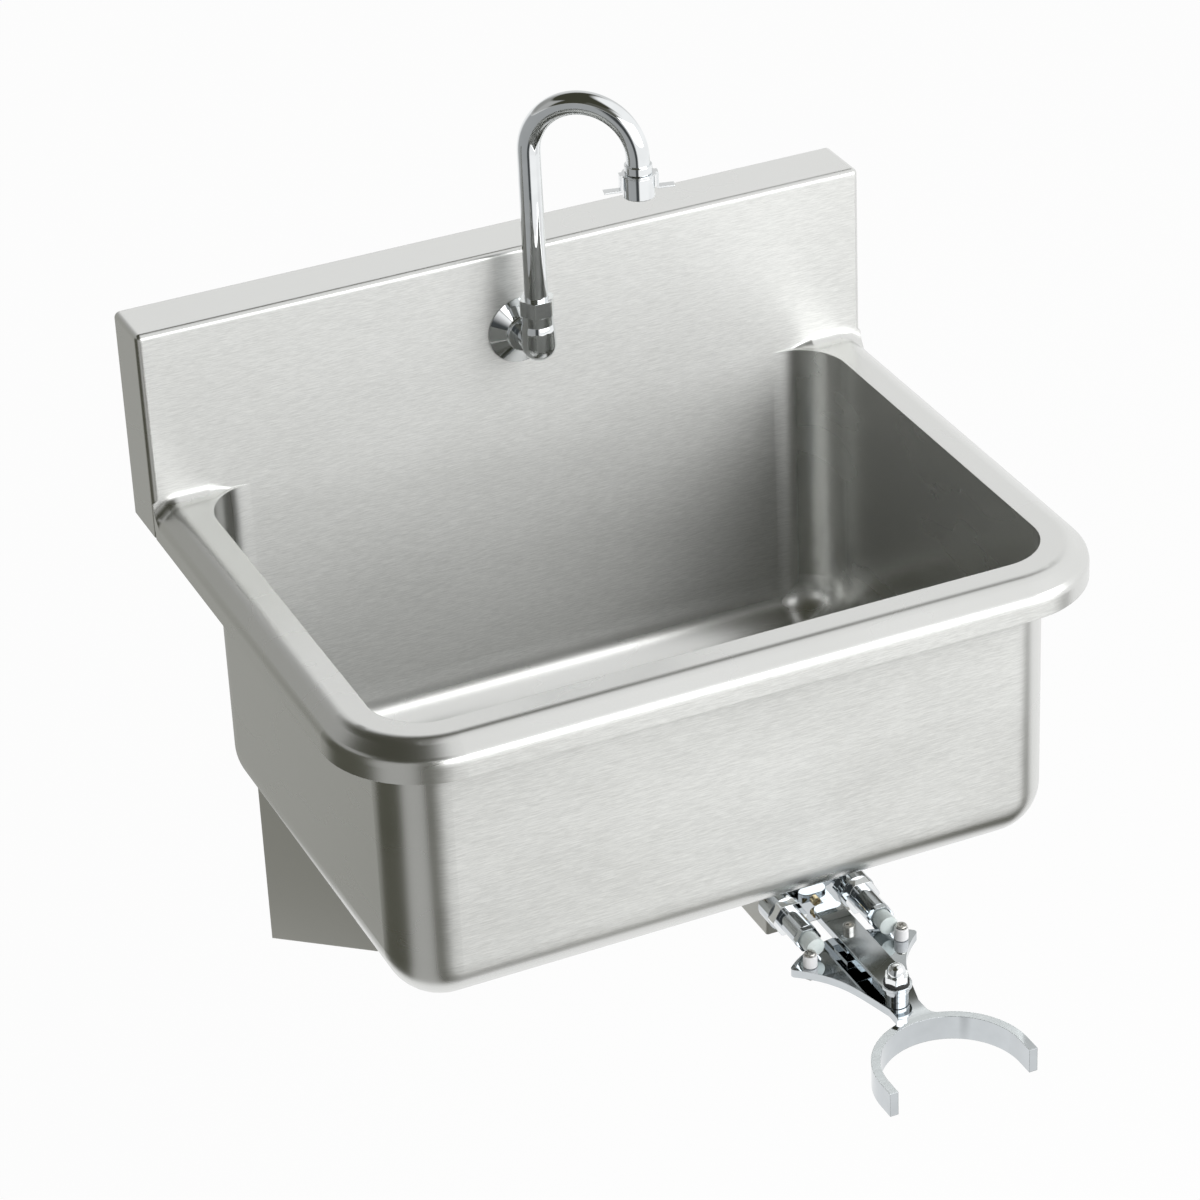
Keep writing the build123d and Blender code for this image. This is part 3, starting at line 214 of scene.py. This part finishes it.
def spread(tree, noise, low, high):
    """The usual values of a noise turned into low to high."""
    return fade(tree, noise, NOISE_LOW, NOISE_HIGH, low, high, kind="LINEAR")


def swing(tree, noise, size, middle=0.0):
    """A noise turned into a swing to both sides of a middle value."""
    return spread(tree, noise, middle - size, middle + size)


def scaled_noise(tree, coords, stretch, scale, detail=2.0, roughness=0.5):
    """Noise over coordinates that are first stretched along the axes."""
    placed = add(tree, "ShaderNodeMapping", {"Vector": coords, "Scale": stretch})
    inputs = {"Vector": placed.outputs[0], "Scale": scale, "Detail": detail, "Roughness": roughness}
    return add(tree, "ShaderNodeTexNoise", inputs).outputs["Fac"]


def mix_colours(tree, share, first, second):
    """A colour between two, which are sockets or plain colours."""
    inputs = {"Factor": share, "A": first, "B": second}
    return add(tree, "ShaderNodeMix", inputs, data_type="RGBA").outputs["Result"]


def two_tones(tree, share, dark, light):
    """A colour between two tones."""
    return mix_colours(tree, share, (*dark, 1.0), (*light, 1.0))


def cosine(tree, first, second):
    """The cosine between two unit directions."""
    made = add(tree, "ShaderNodeVectorMath", {0: first, 1: second}, operation="DOT_PRODUCT")
    return made.outputs["Value"]


def cleared_tree(made):
    """The emptied node tree of a material or a world."""
    made.use_nodes = True
    made.node_tree.nodes.clear()
    return made.node_tree


def start_material(name):
    """A material with only a Principled shader and an output."""
    made = bpy.data.materials.new(name)
    tree = cleared_tree(made)
    shader = add(tree, "ShaderNodeBsdfPrincipled")
    add(tree, "ShaderNodeOutputMaterial", {"Surface": shader.outputs["BSDF"]})
    return made, tree, shader


def edge_wear_and_sheen(tree, radius):
    """Rounded normal for sharp edges, and a mask that is 1 on them."""
    rounded = add(tree, "ShaderNodeBevel", {"Radius": radius}, samples=BEVEL_SAMPLES).outputs[0]
    plain = add(tree, "ShaderNodeNewGeometry").outputs["Normal"]
    mask = fade(tree, cosine(tree, rounded, plain), EDGE_WEAR_AND_SHEEN_FROM, EDGE_WEAR_AND_SHEEN_TO, kind="LINEAR")
    return rounded, mask


def bumped(tree, height, strength, distance, normal=None):
    """The normal of a surface with a fine relief."""
    inputs = {"Height": height, "Strength": strength, "Distance": distance}
    if normal is not None:
        inputs["Normal"] = normal
    return add(tree, "ShaderNodeBump", inputs).outputs[0]


def brushed_steel(name, dark, light, smooth, brushed, grain, bump=0.05):
    """Stainless: brushed with level lines on the panels that face the user, smooth elsewhere, and lighter
    along sharp edges as a painted highlight.
    """
    made, tree, shader = start_material(name)
    coords = add(tree, "ShaderNodeTexCoord").outputs["Object"]
    normal = add(tree, "ShaderNodeNewGeometry").outputs["Normal"]
    facing = add(tree, "ShaderNodeSeparateXYZ", {0: normal})
    level = fade(tree, maths(tree, "ABSOLUTE", facing.outputs[2]), *LEVEL_COSINES)
    panel = fade(tree, maths(tree, "ABSOLUTE", facing.outputs[1]), *PANEL_COSINES)
    fine = scaled_noise(tree, coords, FINE_LINES, 1.0, roughness=LINE_BREAKUP)
    coarse = scaled_noise(tree, coords, COARSE_LINES, 1.0, roughness=LINE_BREAKUP)
    fine_part = maths(tree, "MULTIPLY", fine, FINE_SHARE)
    lines = maths(tree, "ADD", fine_part, maths(tree, "MULTIPLY", coarse, 1 - FINE_SHARE))
    satin = scaled_noise(tree, coords, EVEN, SATIN_SCALE)
    clouds = scaled_noise(tree, coords, CLOUD_STRETCH, SHEET_CLOUDS, SHEET_CLOUD_DETAIL)
    rounded, wear_and_sheen = edge_wear_and_sheen(tree, SHEET_EDGE)
    tone = total(
        tree,
        maths(tree, "MULTIPLY", swing(tree, lines, grain), panel),
        MIDDLE_TONE,
        swing(tree, clouds, CLOUD_TONE),
        swing(tree, satin, SATIN_TONE),
        # painted highlight: sharp edges are made lighter in the colour
        maths(tree, "MULTIPLY", wear_and_sheen, SHEET_EDGE_HIGHLIGHT_TONE),
    )
    rough = total(
        tree,
        maths(tree, "MULTIPLY", swing(tree, lines, LINE_ROUGHNESS), panel),
        swing(tree, clouds, CLOUD_ROUGHNESS, smooth),
        maths(tree, "MULTIPLY", panel, brushed - smooth),
    )
    across_lines = add(tree, "ShaderNodeCombineXYZ", {1: level, 2: maths(tree, "SUBTRACT", 1.0, level)})
    inputs = {
        "Base Color": two_tones(tree, tone, dark, light),
        "Roughness": rough,
        "Normal": bumped(tree, lines, maths(tree, "MULTIPLY", panel, bump), LINE_DEPTH, rounded),
        "Tangent": across_lines.outputs[0],
        "Anisotropic": maths(tree, "MULTIPLY", panel, PANEL_ANISOTROPY),
        "Metallic": 1.0,
    }
    feed(tree, shader, inputs)
    return made


def plated(name, tone, roughness, wear=0.015, bump=0.02):
    """Plated or turned metal with a faint unevenness and softened edges."""
    made, tree, shader = start_material(name)
    coords = add(tree, "ShaderNodeTexCoord").outputs["Object"]
    clouds = scaled_noise(tree, coords, EVEN, PLATING_CLOUDS, FITTING_CLOUD_DETAIL)
    fine = scaled_noise(tree, coords, EVEN, PLATING_GRAIN)
    light = tuple(min(1.0, c * PLATING_LIGHT) for c in tone)
    dark = tuple(c * PLATING_DARK for c in tone)
    rounded, wear_and_sheen = edge_wear_and_sheen(tree, PLATING_EDGE)
    if roughness:
        turned = maths(tree, "MULTIPLY", wear_and_sheen, TURNED_WEAR)
        rough = maths(tree, "ADD", swing(tree, clouds, wear, roughness), turned)
    else:
        rough = maths(tree, "MULTIPLY", wear_and_sheen, MIRROR_WEAR)
    inputs = {
        "Base Color": two_tones(tree, spread(tree, clouds, 0.0, 1.0), dark, light),
        "Roughness": rough,
        "Normal": bumped(tree, fine, bump, PLATING_DEPTH, rounded),
        "Metallic": 1.0,
    }
    feed(tree, shader, inputs)
    return made


def moulded(name, dark, light, roughness, bump=0.05, grain=1500.0):
    """Moulded plastic or rubber with a fine matt skin."""
    made, tree, shader = start_material(name)
    coords = add(tree, "ShaderNodeTexCoord").outputs["Object"]
    clouds = scaled_noise(tree, coords, EVEN, MOULDED_CLOUDS, FITTING_CLOUD_DETAIL)
    fine = scaled_noise(tree, coords, EVEN, grain)
    inputs = {
        "Base Color": two_tones(tree, spread(tree, clouds, 0.0, 1.0), dark, light),
        "Roughness": swing(tree, fine, MOULDED_ROUGHNESS, roughness),
        "Normal": bumped(tree, fine, bump, MOULDED_DEPTH),
    }
    feed(tree, shader, inputs)
    return made


FINISHES = {
    "stainless": brushed_steel(
        "stainless", (0.64, 0.645, 0.63), (0.80, 0.805, 0.79), smooth=0.27, brushed=0.54, grain=0.75
    ),
    "bracket_steel": brushed_steel(
        "bracket_steel", (0.46, 0.46, 0.43), (0.58, 0.58, 0.545), smooth=0.42, brushed=0.48, grain=0.4
    ),
    "chrome": plated("chrome", (0.86, 0.88, 0.89), roughness=0.0),
    "satin_chrome": plated("satin_chrome", (0.58, 0.61, 0.63), roughness=0.0),
    "brass": plated("brass", (0.62, 0.50, 0.30), roughness=0.28, wear=0.05, bump=0.1),
    "screw_steel": plated("screw_steel", (0.60, 0.59, 0.56), roughness=0.25, wear=0.06, bump=0.1),
    "nylon": moulded("nylon", (0.84, 0.84, 0.85), (0.93, 0.93, 0.94), roughness=0.35),
    "frosted_cap": moulded("frosted_cap", (0.68, 0.75, 0.74), (0.80, 0.86, 0.85), roughness=0.3),
    "rubber": moulded("rubber", (0.025, 0.025, 0.025), (0.05, 0.05, 0.05), roughness=0.6, bump=0.15),
}


def dress_nodes():
    """Gives each CAD node the finish that its record asks for."""
    for part in frame["record"]["subparts"]:
        mesh = NODES[part["node"]].data
        mesh.materials.clear()
        mesh.materials.append(FINISHES[part["material_slot"]])


def press_springs():
    """Gives each return spring its own copy of its mesh."""
    for side in ("left", "right"):
        spring = NODES[f"return_spring_{side}"]
        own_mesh(spring)


def seen_directly(tree):
    """1 for rays from the camera, a mirror or glass, and 0 for those that light matt surfaces."""
    path = add(tree, "ShaderNodeLightPath")
    straight = maths(tree, "MAXIMUM", path.outputs["Is Camera Ray"], path.outputs["Is Glossy Ray"])
    return maths(tree, "MAXIMUM", straight, path.outputs["Is Transmission Ray"])


def build_floor():
    """A pale floor that shows white and keeps part of the object's shadow."""
    half = FLOOR_SIZE / 2
    height = CAD_BOX[0][2] - FLOOR_DROP
    mesh = bpy.data.meshes.new("floor")
    corners = [(-half, -half), (half, -half), (half, half), (-half, half)]
    mesh.from_pydata([(x, y, height) for x, y in corners], [], [(0, 1, 2, 3)])
    floor = bpy.data.objects.new("floor", mesh)
    SCENE.collection.objects.link(floor)
    made = bpy.data.materials.new("floor_white")
    tree = cleared_tree(made)
    matt = add(tree, "ShaderNodeBsdfDiffuse", {"Color": FLOOR_PAINT})
    glow = add(tree, "ShaderNodeEmission", {"Color": WHITE, "Strength": 1.0})
    share = maths(tree, "MULTIPLY", seen_directly(tree), FLOOR_GLOW_SHARE)
    mixed = add(tree, "ShaderNodeMixShader", {0: share, 1: matt.outputs[0], 2: glow.outputs[0]})
    add(tree, "ShaderNodeOutputMaterial", {"Surface": mixed.outputs[0]})
    mesh.materials.append(made)


def build_world():
    """A studio that the camera sees white. Metal sees it white round the horizon, dark overhead with a bright
    patch, and shaded at the left, and mirror-like plating sees its back a little darker too."""
    world = bpy.data.worlds.new("studio")
    tree = cleared_tree(world)
    direction = add(tree, "ShaderNodeTexCoord").outputs["Generated"]
    parts = add(tree, "ShaderNodeSeparateXYZ", {0: direction})
    height = parts.outputs[2]
    path = add(tree, "ShaderNodeLightPath")
    above = fade(tree, height, *SHADES_ABOVE, kind="LINEAR")
    share = fade(tree, height, *WORLD_DARKENS, 1.0, 0.0)
    for aim, cosines, most in (BACK_LEFT_SHADE, FRONT_LEFT_SHADE):
        shade = fade(tree, cosine(tree, direction, Vector(aim).normalized()), *cosines, 0.0, most)
        share = maths(tree, "SUBTRACT", share, maths(tree, "MULTIPLY", shade, above), clamp=True)
    overhead = cosine(tree, direction, Vector(OVERHEAD_AIM).normalized())
    share = maths(tree, "MAXIMUM", share, fade(tree, overhead, *OVERHEAD_COSINES))
    behind = fade(tree, parts.outputs[1], *MIRROR_BACK, 0.0, MIRROR_BACK_DROP)
    dropped = maths(tree, "MULTIPLY", behind, path.outputs["Is Singular Ray"])
    share = maths(tree, "MULTIPLY", share, maths(tree, "SUBTRACT", 1.0, dropped))
    share = maths(tree, "MAXIMUM", share, path.outputs["Is Camera Ray"])
    sky = add(tree, "ShaderNodeBackground", {"Color": two_tones(tree, share, WORLD_DARK, WHITE[:3])})
    add(tree, "ShaderNodeOutputWorld", {"Surface": sky.outputs[0]})
    SCENE.world = world


def only_reflected(card):
    """Lets a card show in polished faces and nowhere else."""
    card.visible_camera = False
    card.visible_diffuse = False
    card.visible_shadow = False
    card.visible_transmission = False


def headings(end):
    """The card's steps from its first heading to an end, in radians."""
    first, last = math.radians(-CARD_REACH), math.radians(end)
    return [first + (last - first) * step / CARD_STEPS for step in range(CARD_STEPS + 1)]


def strip_faces(first, columns, rows):
    """The faces of a grid whose corners follow each other column by column."""
    faces = []
    for column in range(columns - 1):
        for row in range(rows - 1):
            near = first + column * rows + row
            far = near + rows
            faces.append((near, near + 1, far + 1, far))
    return faces


def card_mesh():
    """The card's ring on the floor and its upright wall."""
    foot = CAD_BOX[0][2] - FLOOR_DROP + CARD_LIFT
    corners = []
    for angle in headings(CARD_REACH):
        corners += [(radius * math.cos(angle), radius * math.sin(angle), foot) for radius in CARD_RINGS]
    faces = strip_faces(0, CARD_STEPS + 1, len(CARD_RINGS))
    faces += strip_faces(len(corners), CARD_STEPS + 1, 2)
    for angle in headings(CARD_WALL_END):
        place = (CARD_RADIUS * math.cos(angle), CARD_RADIUS * math.sin(angle))
        corners += [(*place, CARD_TOP), (*place, foot)]
    mesh = bpy.data.meshes.new("dark_card")
    mesh.from_pydata(corners, [], faces)
    return mesh


def tone_ramp(tree, turn, tones, tint):
    """The card's tone for each heading, with its dark parts tinted."""
    made = add(tree, "ShaderNodeValToRGB", {0: turn})
    ramp = made.color_ramp
    while len(ramp.elements) < len(tones):
        ramp.elements.new(0.5)
    for stop, (degrees, level) in zip(ramp.elements, tones):
        stop.position = (degrees + CARD_REACH) / (2 * CARD_REACH)
        white = min(1.0, 2 * level)
        stop.color = (*(level * (share + (1 - share) * white) for share in tint), 1.0)
    return made.outputs[0]


def card_material():
    """Tones by heading that fade to white at the ring's edges. In a mirror the card starts further out."""
    made = bpy.data.materials.new("card_grey")
    tree = cleared_tree(made)
    coords = add(tree, "ShaderNodeTexCoord").outputs["Object"]
    parts = add(tree, "ShaderNodeSeparateXYZ", {0: coords})
    across, along = parts.outputs[0], parts.outputs[1]
    mirrored = add(tree, "ShaderNodeLightPath").outputs["Is Singular Ray"]
    reach = math.radians(CARD_REACH)
    turn = fade(tree, maths(tree, "ARCTAN2", along, across), -reach, reach, kind="LINEAR")
    soft = tone_ramp(tree, turn, CARD_TONES, CARD_TINT)
    sharp = tone_ramp(tree, turn, MIRROR_TONES, MIRROR_TINT)
    tones = mix_colours(tree, mirrored, soft, sharp)
    flat = maths(tree, "ADD", maths(tree, "MULTIPLY", across, across), maths(tree, "MULTIPLY", along, along))
    radius = maths(tree, "SQRT", flat)
    inner, rise, fall, outer = CARD_RINGS
    starting = fade(tree, radius, inner, rise)
    ending = fade(tree, radius, outer, fall)
    inside = maths(tree, "SUBTRACT", 1.0, fade(tree, radius, *MIRROR_START))
    left_out = maths(tree, "MULTIPLY", mirrored, inside)
    cover = maths(tree, "MULTIPLY", starting, ending)
    cover = maths(tree, "MULTIPLY", cover, maths(tree, "SUBTRACT", 1.0, left_out))
    shown = mix_colours(tree, cover, WHITE, tones)
    glow = add(tree, "ShaderNodeEmission", {"Color": shown, "Strength": 1.0})
    add(tree, "ShaderNodeOutputMaterial", {"Surface": glow.outputs[0]})
    return made


def build_card():
    """A grey card on the floor and up at the left, that gives the metal its darker bands."""
    mesh = card_mesh()
    mesh.materials.append(card_material())
    card = bpy.data.objects.new("dark_card", mesh)
    card.rotation_euler[2] = math.radians(CARD_HEADING)
    SCENE.collection.objects.link(card)
    only_reflected(card)


def soft_lamp(name, place, target, size, radiance):
    """A soft box at a place, turned to a target."""
    lamp = bpy.data.lights.new(name, "AREA")
    lamp.shape = "RECTANGLE"
    lamp.size, lamp.size_y = size
    lamp.energy = radiance * math.pi * size[0] * size[1]
    made = bpy.data.objects.new(name, lamp)
    SCENE.collection.objects.link(made)
    made.location = place
    made.rotation_mode = "QUATERNION"
    made.rotation_quaternion = (Vector(target) - Vector(place)).to_track_quat("-Z", "Y")
    made.visible_camera = False


def build_camera():
    """The photograph's camera, with its small roll."""
    azimuth, elevation, roll = (math.radians(a) for a in (CAMERA_AZIMUTH, CAMERA_ELEVATION, CAMERA_ROLL))
    level = math.cos(elevation)
    back = Vector((math.sin(azimuth) * level, -math.cos(azimuth) * level, math.sin(elevation)))
    right = (-back).cross(Vector((0, 0, 1))).normalized()
    up = right.cross(-back)
    turned_right = math.cos(roll) * right + math.sin(roll) * up
    turned_up = -math.sin(roll) * right + math.cos(roll) * up
    data = bpy.data.cameras.new("photo_camera")
    data.sensor_width = SENSOR_WIDTH
    data.lens = SENSOR_WIDTH * FOCAL_PIXELS / FRAME_PIXELS
    data.clip_start, data.clip_end = CAMERA_CLIP
    made = bpy.data.objects.new("photo_camera", data)
    SCENE.collection.objects.link(made)
    facing = Matrix((turned_right, turned_up, back)).transposed().to_4x4()
    made.matrix_world = Matrix.Translation(CAMERA_PLACE) @ facing
    SCENE.camera = made


dress_nodes()
press_springs()
build_floor()
build_world()
build_card()
soft_lamp("front_box", BOX_PLACE, BOX_TARGET, BOX_SIZE, BOX_RADIANCE)
build_camera()
SCENE.view_settings.view_transform = "Standard"
